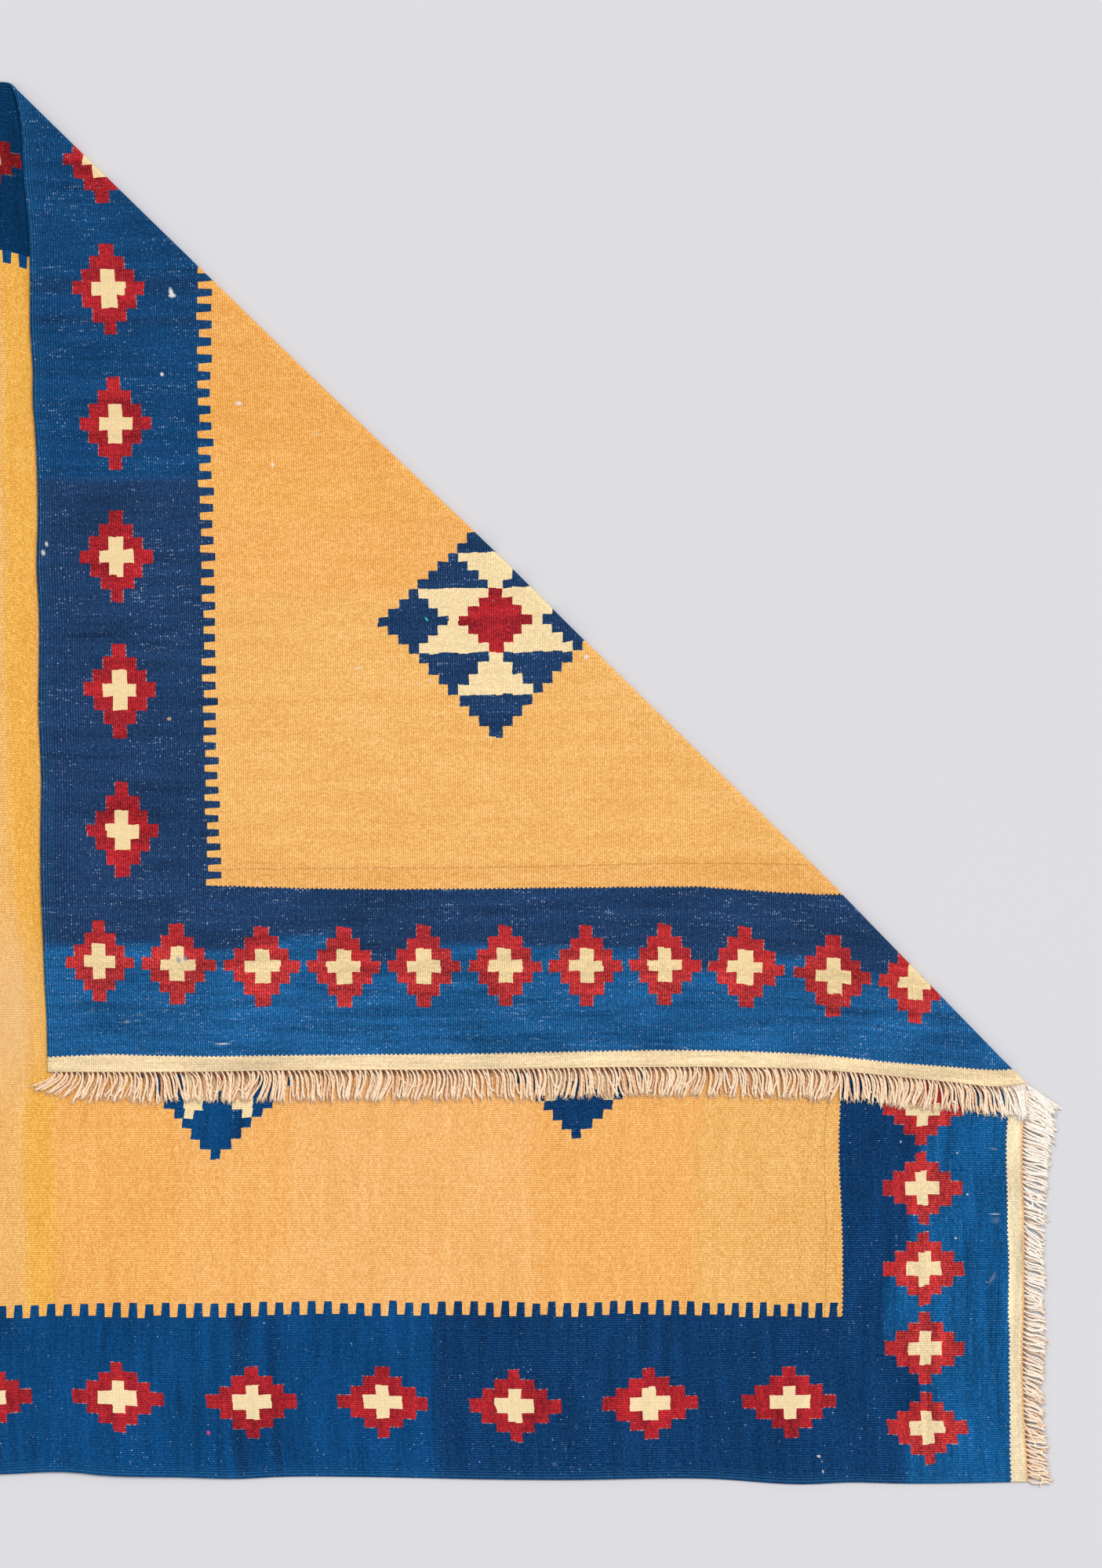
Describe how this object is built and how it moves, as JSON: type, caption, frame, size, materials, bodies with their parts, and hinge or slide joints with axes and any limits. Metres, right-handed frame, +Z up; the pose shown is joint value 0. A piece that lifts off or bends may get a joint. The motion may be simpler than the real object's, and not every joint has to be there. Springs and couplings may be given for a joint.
{
  "type": "kilim rug",
  "caption": "Flat-woven kilim rug lying on a floor with one corner folded over diagonally onto the rest, and a fringe of warp ends along both short ends.",
  "frame": {"origin": "on the floor, under the middle of the rug's bounding box", "axes": "+X along the rug's length towards the end whose back corner is folded over, +Y across the rug towards the selvedge that the fold takes in, +Z up from the floor"},
  "size_m": [2.6234, 1.7909, 0.0096],
  "materials": {
    "woven_wool": "matt flat-woven wool in amber, blue, red and cream",
    "warp_yarn": "matt undyed plied yarn"
  },
  "bodies": {
    "root": {"kilim_cloth": "woven_wool", "fringe_right": "warp_yarn", "fringe_flap": "warp_yarn", "fringe_left": "warp_yarn"}
  },
  "joints": []
}
